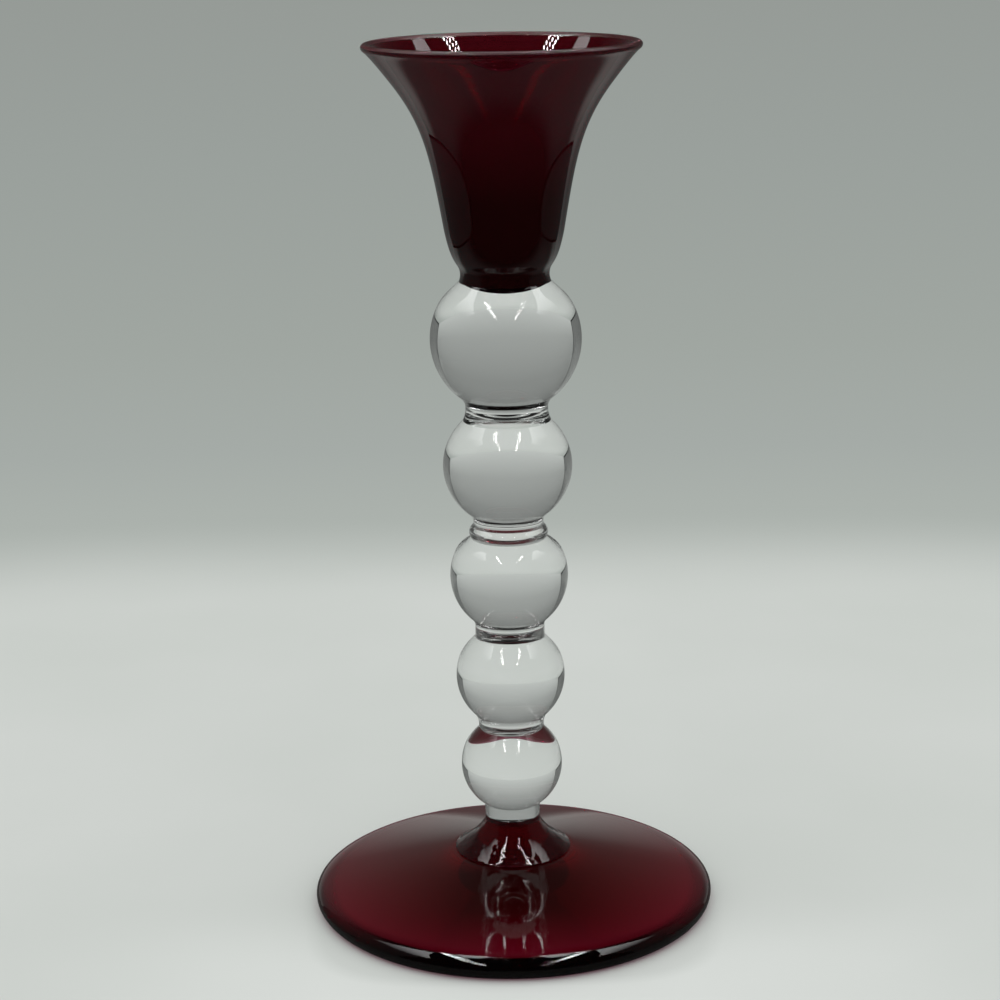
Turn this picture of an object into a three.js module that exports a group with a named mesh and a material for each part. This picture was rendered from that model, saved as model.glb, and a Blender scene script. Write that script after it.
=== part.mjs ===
// A tall glass candle holder: a ruby trumpet cup on a stem of five solid clear balls, and a ruby foot.
// Every piece is turned about the upright axis. The balls, the wafers between them and the ruby
// pieces are fused end to end, so each flat face lies on the flat face of the next piece.
// Units are millimetres. Heights are above the surface that the foot stands on.
import * as THREE from 'three';

// Foot
const FOOT_DIAMETER = 119.2;
const FOOT_LIP_RADIUS = 3.2;        // rounding of the edge, below its widest line
const FOOT_SHOULDER_WIDTH = 5.5;    // from the widest line in to where the cone begins
const FOOT_SHOULDER_HEIGHT = 7.1;   // top of the foot where the cone begins
const FOOT_HUB_HEIGHT = 16.2;       // flat that the collar stands on
const FOOT_REST_WIDTH = 1.4;        // flat ring that touches the table
const FOOT_GLASS_MIDDLE = 8.3;      // upright thickness of the glass on the axis

// Collar between the foot and the stem
const COLLAR_DIAMETER = 34.6;
const COLLAR_LIP = 0.3;             // rounding of its outer edge
const COLLAR_LIP_INSET = 0.2;       // its flat foot is smaller than the edge by this much all round
const COLLAR_SHOULDER_RADIUS = 13.4;
const COLLAR_SHOULDER_HEIGHT = 3.0; // above the foot
const COLLAR_SHOULDER_SLOPE = 37;   // degrees from level, where the rounded edge turns into the bell
const COLLAR_EDGE_PULL = 4.1;       // handle of the rounded edge, down that slope
const COLLAR_BELL_PULL = 4.5;       // handle of the bell, up that slope
const COLLAR_NECK_LENGTH = 1.5;
const COLLAR_HEIGHT = 10.7;

// Stem, from the foot up. seat: radius of the flat that the ball stands on; top: radius of its upper
// flat; topHeight: that flat above the ball's middle; shoulder: angle above the middle where the
// round turns straight towards the upper flat; squash: height over diameter.
const BALLS = [
  { diameter: 29.9, squash: 0.994, seat: 8.2, top: 9.4, topHeight: 11.3, shoulder: 32.5 },
  { diameter: 32.0, squash: 1.0, seat: 10.7, top: 10.4, topHeight: 11.65, shoulder: 30.5 },
  { diameter: 34.5, squash: 0.995, seat: 11.85, top: 10.9, topHeight: 11.45, shoulder: 32.5 },
  { diameter: 37.4, squash: 0.963, seat: 11.0, top: 12.65, topHeight: 13.45, shoulder: 42.5 },
  { diameter: 43.4, squash: 0.986, seat: 13.25, top: 13.1, topHeight: 16.6, shoulder: 35 },
];

// Wafer under each ball, from the foot up. low and high: heights of its lower and upper flares;
// ring and bulge: height and swell of a rounded band at its foot.
const WAFERS = [
  { height: 3.7, waist: 8.2, low: 0.6, high: 1.6, ring: 0, bulge: 0 },
  { height: 4.65, waist: 9.6, low: 0.7, high: 3.4, ring: 0, bulge: 0 },
  { height: 6.55, waist: 10.2, low: 0.7, high: 2.65, ring: 0, bulge: 0 },
  { height: 7.0, waist: 11.1, low: 0, high: 1.7, ring: 2.9, bulge: 0.3 },
  { height: 6.75, waist: 11.9, low: 3.3, high: 2.6, ring: 0, bulge: 0 },
];
const WAFER_FLARE_PULL = 0.55;      // handle of each flare, as a share of the flare's height

// Seat between the stem and the cup
const SEAT_HEIGHT = 2.2;
const SEAT_TOP_RADIUS = 12.7;
const SEAT_DOME = 5.7;              // its underside bulges down into the clear glass

// Cup
const CUP_HEIGHT = 64.7;
const CUP_BODY_RADIUS = 17.0;       // outside, above the rounded bottom
const CUP_BODY_HEIGHT = 12.4;       // of that place above the seat
const RIM_DIAMETER = 78.1;
const RIM_GLASS = 2.3;              // thickness of the wall at its rounded lip
const RIM_LEAN = 45;                // degrees of the wall there from upright
const SOCKET_DIAMETER = 22.6;       // takes a common 22 mm candle
const SOCKET_DEPTH = 17.5;          // straight part, before the wall opens
const SOCKET_DRAFT = 0.6;           // the socket's radius grows by this much over its depth
const SOCKET_CORNER = 1.8;
const CUP_FLOOR = 5.9;              // glass under the socket

// Handles of the long curves: how far out and up each end's handle stands from that end
const FOOT_EDGE_CURVE = { fromOut: 0, fromUp: 1.8, toOut: 3.3, toUp: -0.8 };
const CUP_BOTTOM_CURVE = { fromOut: 0.25, fromUp: 3.7, toOut: -2.1, toUp: -10.7 };
const CUP_FLARE_CURVE = { fromOut: 4.4, fromUp: 26.2, toOut: -15.9, toUp: -17.3 };
const CUP_OPENING_CURVE = { fromOut: -10.5, fromUp: -12.5, toOut: 2.6, toUp: 12.0 };

// The domed joint under the cup: a ring of touching glass round a dome with a fine clearance
const LAND_WIDTH = 0.8;
const JOINT_CLEARANCE = 0.3;

// Fineness of the turned surfaces
const TURNS = 36;
const BALL_STEPS = 9;
const CURVE_STEPS = 6;
const FLARED_WALL_STEPS = 9;
const LIP_STEPS = 4;
const FLARE_STEPS = 3;
const DOME_STEPS = 3;

const RUBY = { color: 0x5a0716, roughness: 0.05, metalness: 0 };
const CLEAR = { color: 0xdfe6e2, roughness: 0.04, metalness: 0 };

function radians(degrees) {
  return degrees * Math.PI / 180;
}

function point(radius, height) {
  return new THREE.Vector2(radius, height);
}

function turned(name, outline, glass) {
  const geometry = new THREE.LatheGeometry(outline, TURNS);
  geometry.rotateX(Math.PI / 2);
  const mesh = new THREE.Mesh(geometry, new THREE.MeshStandardMaterial(glass));
  mesh.name = name;
  return mesh;
}

// The points of one curve after its first, so that curves can follow each other in an outline.
function along(curve, steps) {
  return curve.getPoints(steps).slice(1);
}

function bend(from, handle, to, steps) {
  return along(new THREE.QuadraticBezierCurve(from, handle, to), steps);
}

function sweep(from, pull, to, steps) {
  const leaving = point(from.x + pull.fromOut, from.y + pull.fromUp);
  const arriving = point(to.x + pull.toOut, to.y + pull.toUp);
  return along(new THREE.CubicBezierCurve(from, leaving, arriving, to), steps);
}

// A shallow round cap from its rim at (radius, height) to the axis; rise is negative for one that hangs.
function cap(radius, height, rise) {
  const bow = (radius * radius + rise * rise) / (2 * rise);
  const points = [];
  for (let step = 0; step <= DOME_STEPS; step += 1) {
    const r = radius * (1 - step / DOME_STEPS);
    const drop = Math.abs(bow) - Math.sqrt(bow * bow - r * r);
    points.push(point(r, height + rise - Math.sign(rise) * drop));
  }
  return points;
}

function footPiece() {
  const edge = FOOT_DIAMETER / 2;
  const lip = FOOT_LIP_RADIUS;
  const shoulder = edge - FOOT_SHOULDER_WIDTH;
  const hub = COLLAR_DIAMETER / 2;
  const rest = edge - lip;
  const hollow = FOOT_HUB_HEIGHT - FOOT_GLASS_MIDDLE;
  const outline = [point(0, hollow), point(rest - FOOT_REST_WIDTH, 0), point(rest, 0)];
  const round = new THREE.EllipseCurve(rest, lip, lip, lip, -Math.PI / 2, 0);
  outline.push(...along(round, LIP_STEPS));
  const coneStart = point(shoulder, FOOT_SHOULDER_HEIGHT);
  outline.push(...sweep(point(edge, lip), FOOT_EDGE_CURVE, coneStart, LIP_STEPS));
  outline.push(point(hub, FOOT_HUB_HEIGHT), point(0, FOOT_HUB_HEIGHT));
  return turned('foot', outline, RUBY);
}

function collarPiece(base, neckRadius) {
  const edge = COLLAR_DIAMETER / 2;
  const top = base + COLLAR_HEIGHT;
  const shoulder = point(COLLAR_SHOULDER_RADIUS, base + COLLAR_SHOULDER_HEIGHT);
  const neck = point(neckRadius, top - COLLAR_NECK_LENGTH);
  const lipSide = point(edge, base + COLLAR_LIP);
  const slope = radians(COLLAR_SHOULDER_SLOPE);
  const downSlope = point(COLLAR_EDGE_PULL * Math.cos(slope), -COLLAR_EDGE_PULL * Math.sin(slope));
  const upSlope = point(-COLLAR_BELL_PULL * Math.cos(slope), COLLAR_BELL_PULL * Math.sin(slope));
  const outline = [point(0, base), point(edge - COLLAR_LIP_INSET, base), lipSide];
  outline.push(...bend(lipSide, shoulder.clone().add(downSlope), shoulder, LIP_STEPS));
  outline.push(...bend(shoulder, shoulder.clone().add(upSlope), neck, CURVE_STEPS));
  outline.push(point(neckRadius, top), point(0, top));
  return turned('foot_collar', outline, RUBY);
}

function waferPiece(number, sizes, base, lowRadius, highRadius) {
  const top = base + sizes.height;
  const waistFrom = base + sizes.ring + sizes.low;
  const outline = [point(0, base), point(lowRadius, base)];
  let last = outline[outline.length - 1];
  if (sizes.ring > 0) {
    const ringTop = point(sizes.waist, base + sizes.ring);
    // A curve bows out half as far as its handle stands off.
    const swell = point(lowRadius + 2 * sizes.bulge, base + sizes.ring / 2);
    outline.push(...bend(last, swell, ringTop, LIP_STEPS));
    last = ringTop;
  }
  if (sizes.low > 0) {
    const waistLow = point(sizes.waist, waistFrom);
    const handle = point(sizes.waist, base + sizes.ring + WAFER_FLARE_PULL * sizes.low);
    outline.push(...bend(last, handle, waistLow, FLARE_STEPS));
  }
  const waistHigh = point(sizes.waist, top - sizes.high);
  outline.push(waistHigh);
  const flare = point(sizes.waist, top - WAFER_FLARE_PULL * sizes.high);
  outline.push(...bend(waistHigh, flare, point(highRadius, top), FLARE_STEPS));
  outline.push(point(0, top));
  return turned(`wafer_${number}`, outline, CLEAR);
}

// Height of the ball's lower flat below its middle.
function seatDrop(ball) {
  const half = ball.diameter / 2;
  return half * ball.squash * Math.sqrt(1 - (ball.seat / half) ** 2);
}

function ballPiece(number, ball, base, dome) {
  const half = ball.diameter / 2;
  const halfHeight = half * ball.squash;
  const middle = base + seatDrop(ball);
  const top = middle + ball.topHeight;
  const from = -Math.acos(ball.seat / half);
  const round = new THREE.EllipseCurve(0, middle, half, halfHeight, from, radians(ball.shoulder));
  const outline = [point(0, base), point(ball.seat, base)];
  outline.push(...along(round, BALL_STEPS));
  outline.push(point(ball.top, top));
  if (dome > 0) {
    outline.push(...cap(ball.top - LAND_WIDTH + JOINT_CLEARANCE, top, -dome - JOINT_CLEARANCE));
  } else {
    outline.push(point(0, top));
  }
  return turned(`ball_${number}`, outline, CLEAR);
}

function seatPiece(base, lowRadius) {
  const top = base + SEAT_HEIGHT;
  const low = point(lowRadius, base);
  const outline = cap(lowRadius - LAND_WIDTH, base, -SEAT_DOME).reverse();
  outline.push(low);
  const handle = point(SEAT_TOP_RADIUS, base + SEAT_HEIGHT / 2);
  outline.push(...bend(low, handle, point(SEAT_TOP_RADIUS, top), FLARE_STEPS));
  outline.push(point(0, top));
  return turned('cup_seat', outline, RUBY);
}

function cupPiece(base) {
  const lean = radians(RIM_LEAN);
  const lip = RIM_GLASS / 2;
  const top = base + CUP_HEIGHT;
  const lipRadius = RIM_DIAMETER / 2 - lip;
  const lipHeight = top - lip;
  const outerEnd = point(lipRadius + lip * Math.cos(lean), lipHeight - lip * Math.sin(lean));
  const innerEnd = point(lipRadius - lip * Math.cos(lean), lipHeight + lip * Math.sin(lean));
  const start = point(SEAT_TOP_RADIUS, base);
  const body = point(CUP_BODY_RADIUS, base + CUP_BODY_HEIGHT);
  const lipCurve = new THREE.EllipseCurve(lipRadius, lipHeight, lip, lip, -lean, Math.PI - lean);

  const socketLow = SOCKET_DIAMETER / 2;
  const socketHigh = socketLow + SOCKET_DRAFT;
  const floor = base + CUP_FLOOR;
  const mouth = point(socketHigh, floor + SOCKET_DEPTH);
  const outline = [point(0, base), start];
  outline.push(...sweep(start, CUP_BOTTOM_CURVE, body, CURVE_STEPS));
  outline.push(...sweep(body, CUP_FLARE_CURVE, outerEnd, FLARED_WALL_STEPS));
  outline.push(...along(lipCurve, LIP_STEPS));
  outline.push(...sweep(innerEnd, CUP_OPENING_CURVE, mouth, FLARED_WALL_STEPS));
  const corner = point(socketLow, floor + SOCKET_CORNER);
  outline.push(corner);
  const flat = point(socketLow - SOCKET_CORNER, floor);
  outline.push(...bend(corner, point(socketLow, floor), flat, FLARE_STEPS));
  outline.push(point(0, floor));
  return turned('candle_cup', outline, RUBY);
}

function candleHolder() {
  const holder = new THREE.Group();
  holder.add(footPiece());
  const neckRadius = WAFERS[0].waist;
  holder.add(collarPiece(FOOT_HUB_HEIGHT, neckRadius));
  let height = FOOT_HUB_HEIGHT + COLLAR_HEIGHT;
  let radiusBelow = neckRadius;
  const last = BALLS.length - 1;
  BALLS.forEach((ball, index) => {
    const wafer = WAFERS[index];
    holder.add(waferPiece(index + 1, wafer, height, radiusBelow, ball.seat));
    height += wafer.height;
    holder.add(ballPiece(index + 1, ball, height, index === last ? SEAT_DOME : 0));
    height += seatDrop(ball) + ball.topHeight;
    radiusBelow = ball.top;
  });
  holder.add(seatPiece(height, radiusBelow));
  holder.add(cupPiece(height + SEAT_HEIGHT));
  return holder;
}

export default candleHolder();
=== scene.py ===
"""Glass candle holder: a ruby trumpet cup on five clear balls and a ruby foot, on a pale studio table."""
import math

import bpy
from mathutils import Matrix, Vector

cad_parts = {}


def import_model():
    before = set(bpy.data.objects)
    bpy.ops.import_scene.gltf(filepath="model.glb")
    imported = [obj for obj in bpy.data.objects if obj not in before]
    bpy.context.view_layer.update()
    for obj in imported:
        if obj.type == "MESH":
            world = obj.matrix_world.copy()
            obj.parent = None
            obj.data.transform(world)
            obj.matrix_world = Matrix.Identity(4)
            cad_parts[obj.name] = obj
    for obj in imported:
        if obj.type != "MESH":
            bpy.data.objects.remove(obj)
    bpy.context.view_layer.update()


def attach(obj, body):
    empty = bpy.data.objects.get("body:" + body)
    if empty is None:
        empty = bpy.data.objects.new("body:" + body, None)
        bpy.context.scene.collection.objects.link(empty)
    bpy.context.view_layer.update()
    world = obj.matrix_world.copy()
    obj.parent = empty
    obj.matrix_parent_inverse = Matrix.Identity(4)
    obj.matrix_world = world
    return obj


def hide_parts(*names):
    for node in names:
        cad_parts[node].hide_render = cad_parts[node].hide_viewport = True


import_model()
scene = bpy.context.scene

MM = 0.001
TURNS = 160          # flats around a turned piece
SHARP_EDGE = 40      # degrees: shading is smooth over smaller bends
ON_AXIS = 1e-9       # a radius below this lies on the axis

# Sizes of the glass in mm, with angles in degrees, as in the part's source
FOOT_DIAMETER = 119.2
FOOT_LIP_RADIUS = 3.2
FOOT_SHOULDER_WIDTH = 5.5
FOOT_SHOULDER_HEIGHT = 7.1
FOOT_HUB_HEIGHT = 16.2
FOOT_REST_WIDTH = 1.4
FOOT_GLASS_MIDDLE = 8.3
FOOT_HOLLOW_TIP = (4, 8)          # pull and end of the curve that rounds the tip of the hollow
FOOT_HOLLOW_EDGE = (1.5, 0.5)     # how far its edge is rounded, inwards and outwards

COLLAR_DIAMETER = 34.6
COLLAR_LIP = 0.3
COLLAR_LIP_INSET = 0.2
COLLAR_SHOULDER_RADIUS = 13.4
COLLAR_SHOULDER_HEIGHT = 3.0
COLLAR_SHOULDER_SLOPE = 37
COLLAR_EDGE_PULL = 4.1
COLLAR_BELL_PULL = 4.5
COLLAR_NECK_LENGTH = 1.5
COLLAR_HEIGHT = 10.7

# Diameter, squash, radius of the seat, radius of the top and its height over the middle, shoulder's angle
BALLS = [
    (29.9, 0.994, 8.2, 9.4, 11.3, 32.5),
    (32.0, 1.0, 10.7, 10.4, 11.65, 30.5),
    (34.5, 0.995, 11.85, 10.9, 11.45, 32.5),
    (37.4, 0.963, 11.0, 12.65, 13.45, 42.5),
    (43.4, 0.986, 13.25, 13.1, 16.6, 35.0),
]
# Height, and the side: radius of the waist, heights of the flares below and above it
WAFERS = [
    (3.7, (8.2, 0.6, 1.6)),
    (4.65, (9.6, 0.7, 3.4)),
    (6.55, (10.2, 0.7, 2.65)),
    (7.0, None),
    (6.75, (11.9, 3.3, 2.6)),
]
WAFER_FLARE_PULL = 0.55
# The fourth wafer's side in more detail than its solid's: a round ring, and a waist over it. Each curve is
# given by its pull and its end, as (radius, height over the joint below).
RING_SIDE = (((11.8, 1.35), (11.3, 2.6)), ((10.9, 3.2), (10.4, 3.7)),
             ((10.2, 4.2), (10.2, 5.0)), ((10.2, 6.1), (11.0, 7.0)))

SEAT_HEIGHT = 2.2
SEAT_TOP_RADIUS = 12.7
SEAT_DOME = 5.7

CUP_HEIGHT = 64.7
CUP_BODY_RADIUS = 17.0
CUP_BODY_HEIGHT = 12.4
RIM_DIAMETER = 78.1
RIM_GLASS = 2.3
RIM_LEAN = 45
SOCKET_DIAMETER = 22.6
SOCKET_DEPTH = 17.5
SOCKET_DRAFT = 0.6
SOCKET_CORNER = 1.8
CUP_FLOOR = 5.9
LAND_WIDTH = 0.8
JOINT_CLEARANCE = 0.3

# The pull of a curve at its start and at its end: radius and height of each
FOOT_EDGE_CURVE = (0, 1.8, 3.3, -0.8)
CUP_BOTTOM_CURVE = (0.25, 3.7, -2.1, -10.7)
CUP_FLARE_CURVE = (4.4, 26.2, -15.9, -17.3)
CUP_OPENING_CURVE = (-10.5, -12.5, 2.6, 12.0)

# Only here, and not in the solids
SHOULDER_BLEND = 2.5     # length of the curve between a ball's round and its straight shoulder
RIM_CURL = 55            # lean of the rim's outside, in degrees
RIM_CURL_POINTS = 8      # points of the flare that the curl takes the place of
HAIR = 0.03              # a hair's gap where a ruby piece meets the next piece


# Curves
def bend(a, h, b, n):
    """n points of a curve from a to b that is pulled towards h."""
    out = []
    for i in range(1, n + 1):
        t = i / n
        out.append(((1 - t) ** 2 * a[0] + 2 * (1 - t) * t * h[0] + t * t * b[0],
                    (1 - t) ** 2 * a[1] + 2 * (1 - t) * t * h[1] + t * t * b[1]))
    return out


def sweep(a, pull, b, n):
    """n points of a curve from a to b, pulled at both ends."""
    p = (a, (a[0] + pull[0], a[1] + pull[1]), (b[0] + pull[2], b[1] + pull[3]), b)
    out = []
    for i in range(1, n + 1):
        t = i / n
        w = ((1 - t) ** 3, 3 * (1 - t) ** 2 * t, 3 * (1 - t) * t * t, t ** 3)
        out.append((sum(w[k] * p[k][0] for k in range(4)), sum(w[k] * p[k][1] for k in range(4))))
    return out


def arc(cx, cy, rx, ry, a0, a1, n):
    return [(cx + rx * math.cos(a0 + (a1 - a0) * i / n), cy + ry * math.sin(a0 + (a1 - a0) * i / n))
            for i in range(1, n + 1)]


def line(a, b, n):
    return [(a[0] + (b[0] - a[0]) * i / n, a[1] + (b[1] - a[1]) * i / n) for i in range(1, n + 1)]


def cap(radius, height, rise, n=10):
    """A dome from its edge to the axis, or a bowl where rise is below zero."""
    bow = (radius * radius + rise * rise) / (2 * rise)
    out = []
    for i in range(n + 1):
        r = radius * (1 - i / n)
        drop = abs(bow) - math.sqrt(bow * bow - r * r)
        out.append((r, height + rise - math.copysign(drop, rise)))
    return out


def crossing(a, u, b, v):
    """Where the line from a along u meets the line from b along v."""
    k = ((b[0] - a[0]) * v[1] - (b[1] - a[1]) * v[0]) / (u[0] * v[1] - u[1] * v[0])
    return (a[0] + k * u[0], a[1] + k * u[1])


# Outlines, from the axis below to the axis above
def foot_outline():
    edge = FOOT_DIAMETER / 2
    lip = FOOT_LIP_RADIUS
    shoulder = edge - FOOT_SHOULDER_WIDTH
    hub = COLLAR_DIAMETER / 2
    rest = edge - lip
    rest_inner = rest - FOOT_REST_WIDTH
    slope = (FOOT_HUB_HEIGHT - FOOT_GLASS_MIDDLE) / rest_inner

    def under(r):
        return r, slope * (rest_inner - r)

    tip_pull, tip_end = FOOT_HOLLOW_TIP
    inside, outside = FOOT_HOLLOW_EDGE
    o = [(0, under(tip_pull)[1])]
    o += bend(o[0], under(tip_pull), under(tip_end), 6)
    o += line(o[-1], under(rest_inner - inside), 20)
    o += bend(o[-1], (rest_inner, 0), (rest_inner + outside, 0), 5)
    o += line(o[-1], (rest, 0), 3)
    o += arc(rest, lip, lip, lip, -math.pi / 2, 0, 12)
    o += sweep((edge, lip), FOOT_EDGE_CURVE, (shoulder, FOOT_SHOULDER_HEIGHT), 16)
    o += line(o[-1], (hub, FOOT_HUB_HEIGHT - HAIR), 24)
    o += line(o[-1], (0, FOOT_HUB_HEIGHT - HAIR), 6)
    return o


def collar_outline(base, neck):
    edge = COLLAR_DIAMETER / 2
    top = base + COLLAR_HEIGHT
    shoulder = (COLLAR_SHOULDER_RADIUS, base + COLLAR_SHOULDER_HEIGHT)
    slope = math.radians(COLLAR_SHOULDER_SLOPE)
    side = (edge, base + COLLAR_LIP)
    along = (math.cos(slope), -math.sin(slope))
    down, up = ((shoulder[0] + pull * along[0], shoulder[1] + pull * along[1])
                for pull in (COLLAR_EDGE_PULL, -COLLAR_BELL_PULL))
    o = [(0, base)] + line((0, base), (edge - COLLAR_LIP_INSET, base), 6)
    o += bend(o[-1], (edge, base), side, 4)
    o += bend(side, down, shoulder, 14)
    o += bend(shoulder, up, (neck, top - COLLAR_NECK_LENGTH), 20)
    top -= HAIR
    o += line(o[-1], (neck, top), 4)
    o += [(neck / 2, top), (0, top)]
    return o


def wafer_outline(index, base, low_r, high_r):
    """(outline, number of points in its underside, number of points before its top)"""
    height, shape = WAFERS[index]
    top = base + height
    o = [(0, base), (low_r / 2, base), (low_r, base)]
    n_under = len(o)
    if shape is None:
        for pull, end in RING_SIDE:
            o += bend(o[-1], (pull[0], base + pull[1]), (end[0], base + end[1]), 8)
    else:
        waist, low, high = shape
        o += bend(o[-1], (waist, base + WAFER_FLARE_PULL * low), (waist, base + low), 8)
        o += line(o[-1], (waist, top - high), 5)
        o += bend(o[-1], (waist, top - WAFER_FLARE_PULL * high), (high_r, top), 12)
    n_side = len(o)
    o += [(high_r / 2, top), (0, top)]
    return o, n_under, n_side


def seat_drop(ball):
    """How far a ball's seat lies below its middle."""
    half = ball[0] / 2
    return half * ball[1] * math.sqrt(1 - (ball[2] / half) ** 2)


def ball_outline(ball, base, dome):
    """(outline, number of points in its underside, number of points before its top)"""
    diameter, squash, seat, top_r, top_height, shoulder = ball
    half = diameter / 2
    middle = base + seat_drop(ball)
    top = middle + top_height
    start = -math.acos(seat / half)
    end = math.radians(shoulder)
    o = [(0, base), (seat / 2, base), (seat, base)]
    n_under = len(o)
    # The round passes into the straight shoulder along a short curve, so that no edge shows.
    corner = (half * math.cos(end), middle + half * squash * math.sin(end))
    blend = SHOULDER_BLEND / half
    o += arc(0, middle, half, half * squash, start, end - blend, 56)
    straight = math.dist(corner, (top_r, top))
    k = SHOULDER_BLEND / straight
    after = (corner[0] + k * (top_r - corner[0]), corner[1] + k * (top - corner[1]))
    along = (-math.sin(end - blend), squash * math.cos(end - blend))
    o += bend(o[-1], crossing(o[-1], along, corner, (top_r - corner[0], top - corner[1])), after, 12)
    o += line(o[-1], (top_r, top), 6)
    n_side = len(o)
    if dome > 0:
        o += cap(top_r - LAND_WIDTH + JOINT_CLEARANCE, top, -dome - JOINT_CLEARANCE)
    else:
        o += [(top_r / 2, top), (0, top)]
    return o, n_under, n_side


def seat_outline(base, low_r):
    top = base + SEAT_HEIGHT
    o = cap(low_r - LAND_WIDTH, base, -SEAT_DOME)[::-1] + [(low_r, base)]
    o += bend(o[-1], (SEAT_TOP_RADIUS, base + SEAT_HEIGHT / 2), (SEAT_TOP_RADIUS, top - HAIR), 10)
    o += [(SEAT_TOP_RADIUS / 2, top - HAIR), (0, top - HAIR)]
    return o


def cup_outline(base):
    lean = math.radians(RIM_LEAN)
    lip = RIM_GLASS / 2
    top = base + CUP_HEIGHT
    lip_r = RIM_DIAMETER / 2 - lip
    lip_h = top - lip
    outer = (lip_r + lip * math.cos(lean), lip_h - lip * math.sin(lean))
    inner = (lip_r - lip * math.cos(lean), lip_h + lip * math.sin(lean))
    start = (SEAT_TOP_RADIUS, base)
    body = (CUP_BODY_RADIUS, base + CUP_BODY_HEIGHT)
    low = SOCKET_DIAMETER / 2
    high = low + SOCKET_DRAFT
    floor = base + CUP_FLOOR
    mouth = (high, floor + SOCKET_DEPTH)
    o = [(0, base), (SEAT_TOP_RADIUS / 2, base), start]
    o += sweep(start, CUP_BOTTOM_CURVE, body, 20)
    # The flare's last millimetres curl out a little further than the solid's, by less than 0.3 mm.
    o += sweep(body, CUP_FLARE_CURVE, outer, 44)[:-RIM_CURL_POINTS]
    along = (o[-1][0] - o[-2][0], o[-1][1] - o[-2][1])
    curl = math.radians(RIM_CURL)
    end = (lip_r + lip * math.cos(curl), lip_h - lip * math.sin(curl))
    o += bend(o[-1], crossing(o[-1], along, end, (math.sin(curl), math.cos(curl))), end, 14)
    o += arc(lip_r, lip_h, lip, lip, -curl, math.pi - lean, 18)
    o += sweep(inner, CUP_OPENING_CURVE, mouth, 40)
    o += line(mouth, (low, floor + SOCKET_CORNER), 10)
    o += bend(o[-1], (low, floor), (low - SOCKET_CORNER, floor), 8)
    o += [(low / 2, floor), (0, floor)]
    return o


# Meshes
def turned(name, outline, materials, faces=None):
    """A closed turned mesh. faces maps a run of outline segments to a material: [(first, last, index)]."""
    verts, polys, kinds = [], [], []
    rings = []
    for r, z in outline:
        if r <= ON_AXIS:
            rings.append([len(verts)])
            verts.append((0.0, 0.0, z * MM))
        else:
            ring = []
            for k in range(TURNS):
                a = 2 * math.pi * k / TURNS
                ring.append(len(verts))
                verts.append((r * MM * math.cos(a), r * MM * math.sin(a), z * MM))
            rings.append(ring)
    for i in range(len(rings) - 1):
        a, b = rings[i], rings[i + 1]
        kind = 0
        for first, last, index in faces or ():
            if first <= i < last:
                kind = index
        for k in range(TURNS):
            m = (k + 1) % TURNS
            if len(a) == 1:
                polys.append((a[0], b[m], b[k]))
            elif len(b) == 1:
                polys.append((a[k], a[m], b[0]))
            else:
                polys.append((a[k], a[m], b[m], b[k]))
            kinds.append(kind)
    mesh = bpy.data.meshes.new(name)
    mesh.from_pydata(verts, [], polys)
    mesh.polygons.foreach_set("use_smooth", [True] * len(polys))
    for m in materials:
        mesh.materials.append(m)
    mesh.polygons.foreach_set("material_index", kinds)
    mesh.update()
    mesh.set_sharp_from_angle(angle=math.radians(SHARP_EDGE))
    obj = bpy.data.objects.new(name, mesh)
    scene.collection.objects.link(obj)
    return obj


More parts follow.
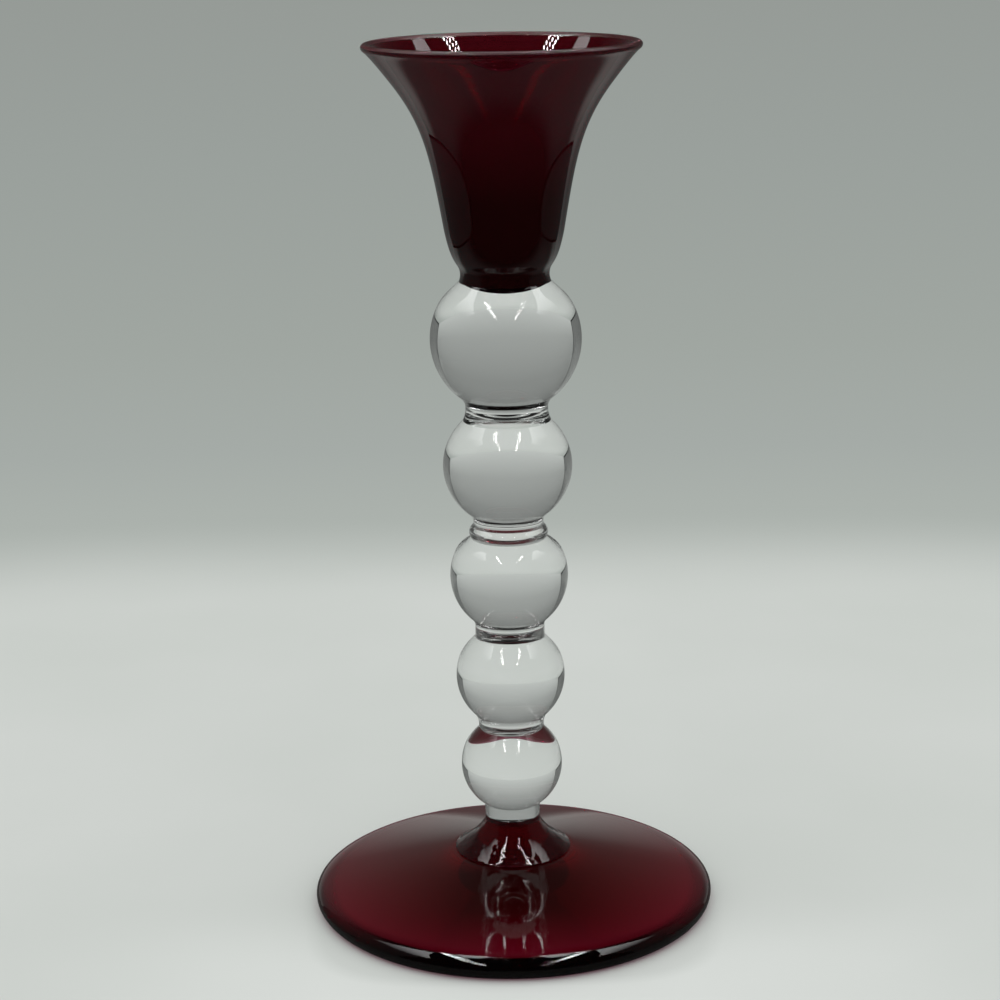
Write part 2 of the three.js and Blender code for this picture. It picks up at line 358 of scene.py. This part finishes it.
# Node trees
class Nodes:
    """A new node tree, with short ways to add and link its nodes."""

    def __init__(self, owner):
        owner.use_nodes = True
        self.tree = owner.node_tree
        self.tree.nodes.clear()
        self.count = 0

    def add(self, kind, **values):
        n = self.tree.nodes.new(kind)
        n.location = (220 * (self.count % 8), -280 * (self.count // 8))
        self.count += 1
        for key, value in values.items():
            setattr(n, key, value)
        return n

    def feed(self, socket, value):
        """Sets a socket to a number or colour, or links it."""
        if isinstance(value, bpy.types.NodeSocket):
            self.tree.links.new(value, socket)
        else:
            socket.default_value = value

    def math(self, operation, a, b=0.0):
        n = self.add("ShaderNodeMath", operation=operation)
        self.feed(n.inputs[0], a)
        self.feed(n.inputs[1], b)
        return n.outputs[0]

    def fade(self, value, start, end, low=0.0, high=1.0, smooth=False):
        """low up to start, high from end on."""
        n = self.add("ShaderNodeMapRange", interpolation_type="SMOOTHSTEP" if smooth else "LINEAR")
        self.feed(n.inputs["Value"], value)
        for name, number in (("From Min", start), ("From Max", end), ("To Min", low), ("To Max", high)):
            n.inputs[name].default_value = number
        return n.outputs["Result"]

    def colours(self, value, stops):
        """A colour for the value, between stops of (value, colour)."""
        n = self.add("ShaderNodeValToRGB")
        self.feed(n.inputs["Fac"], value)
        elements = n.color_ramp.elements
        while len(elements) < len(stops):
            elements.new(0.5)
        for element, (position, colour) in zip(elements, stops):
            element.position = position
            element.color = (*colour, 1)
        return n.outputs["Color"]

    def noise(self, vector, scale, detail):
        n = self.add("ShaderNodeTexNoise")
        self.feed(n.inputs["Vector"], vector)
        n.inputs["Scale"].default_value = scale
        n.inputs["Detail"].default_value = detail
        return n.outputs["Fac"]

    def place(self):
        """(position on the object, its x, y and z)"""
        position = self.add("ShaderNodeTexCoord").outputs["Object"]
        parts = self.add("ShaderNodeSeparateXYZ")
        self.feed(parts.inputs[0], position)
        return position, parts.outputs["X"], parts.outputs["Y"], parts.outputs["Z"]

    def shader(self, kind, **values):
        n = self.add(kind)
        for name, value in values.items():
            self.feed(n.inputs[name], value)
        return n.outputs[0]

    def mix(self, amount, a, b):
        n = self.add("ShaderNodeMixShader")
        self.feed(n.inputs[0], amount)
        self.feed(n.inputs[1], a)
        self.feed(n.inputs[2], b)
        return n.outputs[0]

    def sum(self, a, b):
        n = self.add("ShaderNodeAddShader")
        self.feed(n.inputs[0], a)
        self.feed(n.inputs[1], b)
        return n.outputs[0]

    def finish(self, kind, surface, volume=None):
        out = self.add(kind)
        self.feed(out.inputs["Surface"], surface)
        if volume:
            self.feed(out.inputs["Volume"], volume)


def srgb(*rgb):
    """Linear colour of an 8-bit colour."""
    shares = (c / 255 for c in rgb)
    return tuple(c / 12.92 if c <= 0.04045 else ((c + 0.055) / 1.055) ** 2.4 for c in shares)


# Materials of the glass
HAZE = 0.02                # roughness where hands touch the glass, in patches
HAZE_SCALE = 34.0
HAZE_SPAN = (0.45, 0.75)
WEAR = 0.35                # roughness of the ring that the foot stands on
WEAR_HEIGHT = (0.1, 0.6)   # mm
RIM_TOP = (254.0, 254.5)   # mm: the rim begins to be satin, and is so fully
RUBY_FACE_TONES = ((0.0, (0.010, 0.001, 0.002)), (1.0, (0.030, 0.002, 0.005)))
RUBY_FACE_SCALE = 90.0


def glass_material(name, tint, ior, loss=None, clear=1.0, wave=0.01, waves=55, tints=(), satin=0.0):
    """Fire-polished glass: very smooth, with the faint waves of hot work, a little haze where hands touch
    it and fine wear on the ring that it stands on. loss: light lost per mm, in red, green and blue.
    wave: the waves' height in mm. waves: how close together they are. tints: where given, stops of
    (height, colour) in place of the one tint. satin: how rough the top of a rim is."""
    mat = bpy.data.materials.new(name)
    t = Nodes(mat)
    position, _, _, z = t.place()
    handled = t.fade(t.noise(position, HAZE_SCALE, 4.0), *HAZE_SPAN, 0.0, HAZE)
    worn = t.fade(z, WEAR_HEIGHT[0] * MM, WEAR_HEIGHT[1] * MM, WEAR, 0.0)
    if satin:
        worn = t.math("ADD", worn, t.fade(z, RIM_TOP[0] * MM, RIM_TOP[1] * MM, 0.0, satin))
    bump = t.add("ShaderNodeBump")
    bump.inputs["Strength"].default_value = 1.0
    bump.inputs["Distance"].default_value = wave * MM
    t.feed(bump.inputs["Height"], t.noise(position, waves, 1.5))

    glass = t.add("ShaderNodeBsdfPrincipled")
    glass.inputs["Base Color"].default_value = (*tint, 1)
    if tints:
        low, high = tints[0][0], tints[-1][0]
        stops = [((height - low) / (high - low), colour) for height, colour in tints]
        t.feed(glass.inputs["Base Color"], t.colours(t.fade(z, low * MM, high * MM), stops))
    glass.inputs["IOR"].default_value = ior
    glass.inputs["Transmission Weight"].default_value = clear
    t.feed(glass.inputs["Roughness"], t.math("ADD", handled, worn))
    t.feed(glass.inputs["Normal"], bump.outputs["Normal"])

    # Light from the lamps goes straight through, and the body of the glass colours it.
    straight = t.add("ShaderNodeBsdfTransparent")
    straight.inputs["Color"].default_value = (1, 1, 1, 1)
    path = t.add("ShaderNodeLightPath")
    surface = t.mix(path.outputs["Is Shadow Ray"], glass.outputs["BSDF"], straight.outputs["BSDF"])
    volume = None
    if loss:
        most = max(loss) * 1.02   # so that no channel of the colour is quite black
        body = t.add("ShaderNodeVolumeAbsorption")
        body.inputs["Color"].default_value = (*(1 - a / most for a in loss), 1)
        body.inputs["Density"].default_value = most / MM
        volume = body.outputs["Volume"]
    t.finish("ShaderNodeOutputMaterial", surface, volume)
    return mat


def seam_material():
    """The faces inside the glass where two clear pieces are fused: nothing is seen of them."""
    mat = bpy.data.materials.new("fused_clear")
    t = Nodes(mat)
    nothing = t.add("ShaderNodeBsdfTransparent")
    nothing.inputs["Color"].default_value = (1, 1, 1, 1)
    t.finish("ShaderNodeOutputMaterial", nothing.outputs["BSDF"])
    return mat


def ruby_face_material():
    """What shows through clear glass of the ruby fused to it: near black, with a little red in it."""
    mat = bpy.data.materials.new("fused_ruby")
    t = Nodes(mat)
    position = t.place()[0]
    face = t.add("ShaderNodeBsdfPrincipled")
    face.inputs["Roughness"].default_value = 0.9
    face.inputs["Specular IOR Level"].default_value = 0.0
    t.feed(face.inputs["Base Color"], t.colours(t.noise(position, RUBY_FACE_SCALE, 2.0), RUBY_FACE_TONES))
    t.finish("ShaderNodeOutputMaterial", face.outputs["BSDF"])
    return mat


RUBY_IOR = 1.52
CLEAR_IOR = 1.5
CUP_LOSS = (1.25, 2.2, 1.9)
CUP_TINTS = ((190, (0.16, 0.008, 0.012)), (212, (0.19, 0.010, 0.018)), (232, (0.56, 0.022, 0.056)),
             (256, (0.64, 0.026, 0.068)))   # deeper where the wall is thick
FOOT_LOSS = (0.056, 0.44, 0.232)
COLLAR_LOSS = (0.07, 0.42, 0.32)
COLLAR_TINT = (0.26, 0.012, 0.024)
CLEAR_TINT = (0.985, 0.995, 0.99)
RUBY_CUP = glass_material("ruby_cup_glass", CUP_TINTS[-1][1], RUBY_IOR, CUP_LOSS, clear=0.95,
                          tints=CUP_TINTS, satin=0.4)
RUBY_FOOT = glass_material("ruby_foot_glass", (1, 1, 1), RUBY_IOR, FOOT_LOSS, wave=0.012)
RUBY_COLLAR = glass_material("ruby_collar_glass", COLLAR_TINT, RUBY_IOR, COLLAR_LOSS, clear=0.94,
                             wave=0.38, waves=220)   # rippled by the tool that drew its bell
CLEAR = glass_material("clear_glass", CLEAR_TINT, CLEAR_IOR, wave=0.008)
SEAM = seam_material()
RUBY_FACE = ruby_face_material()


# The object
def place(obj, node_name):
    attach(obj, "root")
    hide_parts(node_name)


def candle_holder():
    place(turned("foot_glass", foot_outline(), [RUBY_FOOT]), "foot")
    neck = WAFERS[0][1][0]
    collar = collar_outline(FOOT_HUB_HEIGHT, neck)
    place(turned("foot_collar_glass", collar, [RUBY_COLLAR]), "foot_collar")
    height = FOOT_HUB_HEIGHT + COLLAR_HEIGHT
    below = neck
    for i, ball in enumerate(BALLS):
        # The lowest wafer's underside stays glass, with a hair's gap to the ruby collar.
        o, under, side = wafer_outline(i, height, below, ball[2])
        faces = [(0, under - 1, 0 if i == 0 else 1), (side - 1, len(o), 1)]
        place(turned(f"wafer_{i + 1}_glass", o, [CLEAR, SEAM], faces), f"wafer_{i + 1}")
        height += WAFERS[i][0]
        last = i == len(BALLS) - 1
        o, under, side = ball_outline(ball, height, SEAT_DOME if last else 0)
        faces = [(0, under - 1, 1), (side - 1, len(o), 2 if last else 1)]
        glasses = [CLEAR, SEAM, RUBY_FACE] if last else [CLEAR, SEAM]
        place(turned(f"ball_{i + 1}_glass", o, glasses, faces), f"ball_{i + 1}")
        height += seat_drop(ball) + ball[4]
        below = ball[3]
    place(turned("cup_seat_glass", seat_outline(height, below), [RUBY_CUP]), "cup_seat")
    cup = cup_outline(height + SEAT_HEIGHT)
    place(turned("candle_cup_glass", cup, [RUBY_CUP]), "candle_cup")


candle_holder()

# Camera: fitted to the ellipses of the foot, the collar and the rim in the photograph
PICTURE_WIDTH = 1000
FOCAL_PIXELS = 2388.7
SENSOR = 36.0
CAMERA_PLACE = (-2.35, -670.2, 303.2)   # mm
CAMERA_PITCH = 0.2613                   # radians down from level
CAMERA_ROLL = 0.0154                    # radians


def camera():
    data = bpy.data.cameras.new("camera")
    data.sensor_width = SENSOR
    data.lens = FOCAL_PIXELS / PICTURE_WIDTH * SENSOR
    data.clip_start = 0.01
    data.clip_end = 50
    obj = bpy.data.objects.new("camera", data)
    scene.collection.objects.link(obj)
    right = Vector((1, 0, 0))
    down = Vector((0, -math.sin(CAMERA_PITCH), -math.cos(CAMERA_PITCH)))
    ahead = Vector((0, math.cos(CAMERA_PITCH), -math.sin(CAMERA_PITCH)))
    rolled_right = right * math.cos(CAMERA_ROLL) + down * math.sin(CAMERA_ROLL)
    rolled_down = -right * math.sin(CAMERA_ROLL) + down * math.cos(CAMERA_ROLL)
    m = Matrix((rolled_right, -rolled_down, -ahead)).transposed().to_4x4()
    m.translation = Vector(CAMERA_PLACE) * MM
    obj.matrix_world = m
    scene.camera = obj


camera()

# Table, studio and light, in metres
TABLE_HALF = 12.0
TABLE_DROP = 0.1 * MM           # keeps the table clear of the foot
TABLE_GREYS = (srgb(204, 208, 204), srgb(210, 213, 210))
GRAIN_SCALE = 6.0
GRAIN_SPAN = (0.3, 0.7)
TABLE_END = (0.295, 0.44)       # where the table passes into the wall, measured from the middle
VIEW_DISTANCE = 0.67            # how far from the middle the object is viewed
PLAIN_GREY = srgb(150, 155, 151)
WALL_GREYS = ((0.12, PLAIN_GREY), (0.26, srgb(154, 160, 156)), (0.44, srgb(160, 166, 161)),
              (0.54, srgb(165, 171, 167)), (0.60, srgb(171, 177, 172)), (0.66, srgb(175, 181, 176)))
TABLE_FRONT = (-0.14, -0.02)    # in front of this the glass shows and mirrors the dark, not the table
TABLE_MIRROR_SHARE = 0.15       # how bright the table is in reflections, against through the glass
TABLE_FAR_SHARE = 0.68          # the same behind the foot
TABLE_FAR = (0.16, 0.26)

# Painted red light under the foot's outer part, in place of light that the glass gathers there; it shows
# only through the glass
UNDER_GLOW = (0.06, 0.11)       # strength behind and in front
UNDER_GLOW_TINT = (1, 0.4, 0.4, 1)
UNDER_GLOW_DEPTH = (0.01, -0.045)
UNDER_GLOW_INSIDE = (0.018, 0.050)
UNDER_GLOW_OUTSIDE = (0.060, 0.055)
# Painted pale light on the table in front of the foot, in place of light that the glass gathers there
FRONT_GLOW = 0.07
FRONT_GLOW_DEPTH = (0.0, -0.05)
FRONT_GLOW_INSIDE = (0.057, 0.062)
FRONT_GLOW_OUTSIDE = (0.16, 0.062)

WORLD_LIGHT = 0.92
WORLD_TINT = (0.99, 1.0, 0.99, 1)
DARK = 0.012                    # what the glass shows and mirrors from beyond the walls
WALL_BACK = 0.35
WALL_LEFT = -0.40
WALL_RIGHT = 0.44
WALL_FRONT = -0.225
WALL_HEIGHT = 0.62
WALL_TINT = (0.985, 1.03, 0.99, 1)
WALL_TRIM = 0.010               # width of the dark edges of the side walls
TRIM_TONE = 0.2 * DARK
SIDE_TONE = 0.18
SIDE_MIRROR_SHARE = 0.36        # how bright the side walls are in reflections
# Tones of the back wall by height, as seen through the glass and as mirrored
BACK_SEEN = ((0.0, 0.54), (0.05, 0.48), (0.16, 0.36), (0.40, 0.265), (0.72, 0.235), (1.0, 0.23))
BACK_MIRRORED = ((0.0, 0.40), (0.06, 0.31), (0.16, 0.16), (0.40, 0.115), (0.75, 0.05), (1.0, 0.03))
BACK_RIGHT = (0.02, 0.13, 0.0, 0.3)   # from x, to x, and the share of its light that the wall loses there
BACK_RIGHT_RISE = (0.11, 0.21)        # the loss begins and is full at these shares of the wall's height

STRIP_HALF = 0.14
STRIP_PLACE = (0.08, 0.20)
STRIP_HEIGHT = 0.61
STRIP_GLOW = 4.0
# Corners of the panel on the right; the one on the left is its mirror image
PANEL = ((0.205, 0.170, 0.600), (0.335, -0.175, 0.505), (0.352, -0.110, 0.380), (0.354, 0.150, 0.380))
PANEL_FADE = (0.38, 0.52)       # heights between which the panels grow bright
PANEL_GLOW = 3.0

LAMP_POWER = 0.28
LAMP_PLACE = (0.165, -0.16, 0.60)
LAMP_FALL = 0.48                # the boards face the stem, this far below them
LAMP_WIDTH = 0.016
LAMP_LENGTH = 0.70
LAMP_PITCH = (0.013, 0.009)     # between the small lamps of a board, across and along it
LAMP_ROWS = 3
LAMP_DOT = (0.28, 0.24)         # radii of a lamp and of its bright middle, as shares of the pitch
LAMP_GLOW = 56


def flat_mesh(name, quads, material):
    mesh = bpy.data.meshes.new(name)
    verts = [v for quad in quads for v in quad]
    mesh.from_pydata(verts, [], [tuple(range(4 * i, 4 * i + 4)) for i in range(len(quads))])
    mesh.materials.append(material)
    obj = bpy.data.objects.new(name, mesh)
    scene.collection.objects.link(obj)
    return obj


def only_in_glass(obj):
    """Seen in the glass and through it, but not by the camera. It doesn't light or shade the table."""
    obj.visible_camera = False
    obj.visible_diffuse = False
    obj.visible_shadow = False


def table():
    mat = bpy.data.materials.new("table")
    t = Nodes(mat)
    position, x, y, _ = t.place()
    # Distance from the middle, measured so that its lines are rounded squares
    x4 = t.math("POWER", t.math("ABSOLUTE", x), 4)
    y4 = t.math("POWER", t.math("ABSOLUTE", y), 4)
    away = t.math("POWER", t.math("ADD", x4, y4), 0.25)
    far = t.fade(away, *TABLE_END, smooth=True)

    # The far part is painted as a wall: its grey follows how high it looks from the viewing distance.
    share = t.math("DIVIDE", VIEW_DISTANCE, t.math("ADD", away, VIEW_DISTANCE))
    wall = t.shader("ShaderNodeEmission", Color=t.colours(share, WALL_GREYS))
    grain = t.colours(t.noise(position, GRAIN_SCALE, 3.0), tuple(zip(GRAIN_SPAN, TABLE_GREYS)))
    top = t.mix(far, t.shader("ShaderNodeBsdfDiffuse", Color=grain), wall)

    path = t.add("ShaderNodeLightPath")
    through = path.outputs["Is Transmission Ray"]
    in_glass = t.math("MAXIMUM", path.outputs["Is Glossy Ray"], through)
    mirrored = t.math("SUBTRACT", in_glass, through)
    # Painted light on the table, in place of light that the glass throws there: red under the foot's outer
    # part, pale in front of it
    painted_red_light = t.math("MULTIPLY", t.fade(away, *UNDER_GLOW_OUTSIDE), t.fade(away, *UNDER_GLOW_INSIDE))
    strength = t.fade(y, *UNDER_GLOW_DEPTH, *UNDER_GLOW)
    painted_red_light = t.math("MULTIPLY", t.math("MULTIPLY", painted_red_light, through), strength)
    # painted pale light in front of the foot, seen by the camera as well as in the glass
    painted_pale_light = t.math("MULTIPLY", t.fade(away, *FRONT_GLOW_OUTSIDE, smooth=True),
                    t.fade(y, *FRONT_GLOW_DEPTH, smooth=True))
    painted_pale_light = t.math("MULTIPLY", painted_pale_light, t.fade(away, *FRONT_GLOW_INSIDE, 0.0, FRONT_GLOW))
    # the painted red light under the foot, seen only through the glass
    top = t.sum(top, t.shader("ShaderNodeEmission", Color=UNDER_GLOW_TINT, Strength=painted_red_light))
    top = t.sum(top, t.shader("ShaderNodeEmission", Strength=painted_pale_light))
    black = t.shader("ShaderNodeEmission", Color=(DARK, DARK, DARK, 1))
    lost = t.fade(y, *TABLE_FAR, 1 - TABLE_MIRROR_SHARE, 1 - TABLE_FAR_SHARE, smooth=True)
    dimmed = t.mix(t.math("MULTIPLY", mirrored, lost), top, black)
    front = t.fade(y, *TABLE_FRONT, 1.0, 0.0, smooth=True)
    t.finish("ShaderNodeOutputMaterial", t.mix(t.math("MULTIPLY", in_glass, front), dimmed, black))

    s, z = TABLE_HALF, -TABLE_DROP
    flat_mesh("table", [((-s, -s, z), (s, -s, z), (s, s, z), (-s, s, z))], mat)


def wall_material(name, side):
    mat = bpy.data.materials.new(name)
    t = Nodes(mat)
    _, x, y, z = t.place()
    path = t.add("ShaderNodeLightPath")
    through = path.outputs["Is Transmission Ray"]
    if side:
        edges = t.math("MAXIMUM", t.fade(y, WALL_BACK - WALL_TRIM, WALL_BACK - WALL_TRIM + MM),
                       t.fade(z, WALL_TRIM, WALL_TRIM - MM))
        edges = t.math("MAXIMUM", edges, t.fade(y, WALL_FRONT + WALL_TRIM, WALL_FRONT + WALL_TRIM - MM))
        tone = t.fade(edges, 0, 1, SIDE_TONE, TRIM_TONE)
        tone = t.math("MULTIPLY", tone, t.fade(through, 0, 1, SIDE_MIRROR_SHARE, 1))
    else:
        high = t.math("DIVIDE", z, WALL_HEIGHT)
        seen, mirrored = (t.colours(high, [(p, (v, v, v)) for p, v in tones])
                          for tones in (BACK_SEEN, BACK_MIRRORED))
        lost = t.math("MULTIPLY", t.fade(high, *BACK_RIGHT_RISE), t.fade(x, *BACK_RIGHT, smooth=True))
        mirrored = t.math("MULTIPLY", mirrored, t.math("SUBTRACT", 1, lost))
        tone = t.math("ADD", t.math("MULTIPLY", seen, through),
                      t.math("MULTIPLY", mirrored, t.math("SUBTRACT", 1, through)))
    glow = t.shader("ShaderNodeEmission", Color=WALL_TINT, Strength=tone)
    t.finish("ShaderNodeOutputMaterial", glow)
    mat.cycles.emission_sampling = "NONE"
    return mat


def walls():
    """What the glass mirrors and shows through itself: a pale back wall, and darker sides with dark
    edges."""
    b, f, h = WALL_BACK, WALL_FRONT, WALL_HEIGHT
    left, right = WALL_LEFT, WALL_RIGHT
    back = [((left, b, 0), (right, b, 0), (right, b, h), (left, b, h))]
    sides = [((x, f, 0), (x, b, 0), (x, b, h), (x, f, h)) for x in (left, right)]
    only_in_glass(flat_mesh("wall_back", back, wall_material("wall_back", False)))
    only_in_glass(flat_mesh("wall_sides", sides, wall_material("wall_sides", True)))


def world():
    t = Nodes(bpy.data.worlds.new("studio"))
    scene.world = bpy.data.worlds["studio"]
    light = t.shader("ShaderNodeBackground", Color=WORLD_TINT, Strength=WORLD_LIGHT)
    plain = t.shader("ShaderNodeBackground", Color=(*PLAIN_GREY, 1))
    dark = t.shader("ShaderNodeBackground", Color=(DARK, DARK, DARK, 1))
    path = t.add("ShaderNodeLightPath")
    in_glass = t.math("MAXIMUM", path.outputs["Is Glossy Ray"], path.outputs["Is Transmission Ray"])
    other = t.mix(in_glass, light, dark)
    t.finish("ShaderNodeOutputWorld", t.mix(path.outputs["Is Camera Ray"], other, plain))


def strip():
    """A long pale strip over the back of the table, mirrored as fine lines along the rims of the glass."""
    mat = bpy.data.materials.new("strip")
    t = Nodes(mat)
    mirrored = t.math("SUBTRACT", 1, t.add("ShaderNodeLightPath").outputs["Is Transmission Ray"])
    strength = t.math("MULTIPLY", mirrored, STRIP_GLOW)
    t.finish("ShaderNodeOutputMaterial", t.shader("ShaderNodeEmission", Strength=strength))
    mat.cycles.emission_sampling = "NONE"
    x, (near, far), z = STRIP_HALF, STRIP_PLACE, STRIP_HEIGHT
    quad = ((-x, near, z), (x, near, z), (x, far, z), (-x, far, z))
    only_in_glass(flat_mesh("strip", [quad], mat))


def panels():
    """Two soft pale panels high at the sides, mirrored as pale patches on the shoulders of the balls."""
    mat = bpy.data.materials.new("panels")
    t = Nodes(mat)
    z = t.place()[3]
    mirrored = t.math("SUBTRACT", 1, t.add("ShaderNodeLightPath").outputs["Is Transmission Ray"])
    strength = t.math("MULTIPLY", mirrored, t.fade(z, *PANEL_FADE, 0.0, PANEL_GLOW))
    t.finish("ShaderNodeOutputMaterial", t.shader("ShaderNodeEmission", Strength=strength))
    mat.cycles.emission_sampling = "NONE"
    quads = [[(side * x, y, z) for x, y, z in PANEL] for side in (-1, 1)]
    only_in_glass(flat_mesh("panels", quads, mat))


def board_material():
    """Rows of small round lamps."""
    mat = bpy.data.materials.new("lamp_board")
    t = Nodes(mat)
    _, x, y, _ = t.place()

    def from_middle(along, pitch):
        cell = t.math("FRACT", t.math("ADD", t.math("DIVIDE", along, pitch), 0.5))
        return t.math("POWER", t.math("SUBTRACT", cell, 0.5), 2)

    away = t.math("SQRT", t.math("ADD", from_middle(x, LAMP_PITCH[0]), from_middle(y, LAMP_PITCH[1])))
    strength = t.fade(away, *LAMP_DOT, 0.0, LAMP_GLOW)
    t.finish("ShaderNodeOutputMaterial", t.shader("ShaderNodeEmission", Strength=strength))
    mat.cycles.emission_sampling = "NONE"
    return mat


def lamps():
    """Two boards of lamps over the table, running front to back. The glass mirrors the boards, and plain
    area lamps in their place light the table."""
    board = board_material()
    for name, side in (("left", -1), ("right", 1)):
        x = side * LAMP_PLACE[0]
        up = Vector((x, 0, LAMP_FALL)).normalized()
        long = Vector((0, 1, 0))
        turn = Matrix((long.cross(up), long, up)).transposed().to_4x4()
        turn.translation = (x, LAMP_PLACE[1], LAMP_PLACE[2])
        data = bpy.data.lights.new("lamp_" + name, "AREA")
        data.shape = "RECTANGLE"
        data.size = LAMP_WIDTH
        data.size_y = LAMP_LENGTH
        data.energy = LAMP_POWER
        lamp = bpy.data.objects.new("lamp_" + name, data)
        scene.collection.objects.link(lamp)
        lamp.matrix_world = turn
        lamp.visible_camera = False
        lamp.visible_glossy = False
        lamp.visible_transmission = False
        w, n = LAMP_ROWS / 2 * LAMP_PITCH[0], LAMP_LENGTH / 2
        quad = ((-w, -n, 0), (w, -n, 0), (w, n, 0), (-w, n, 0))
        obj = flat_mesh("lamp_board_" + name, [quad], board)
        obj.matrix_world = turn
        only_in_glass(obj)


table()
walls()
strip()
panels()
world()
lamps()

scene.view_settings.view_transform = "Standard"
scene.cycles.max_bounces = 32
scene.cycles.transmission_bounces = 32
scene.cycles.glossy_bounces = 16
scene.cycles.transparent_max_bounces = 64
scene.cycles.caustics_refractive = False
scene.cycles.caustics_reflective = False
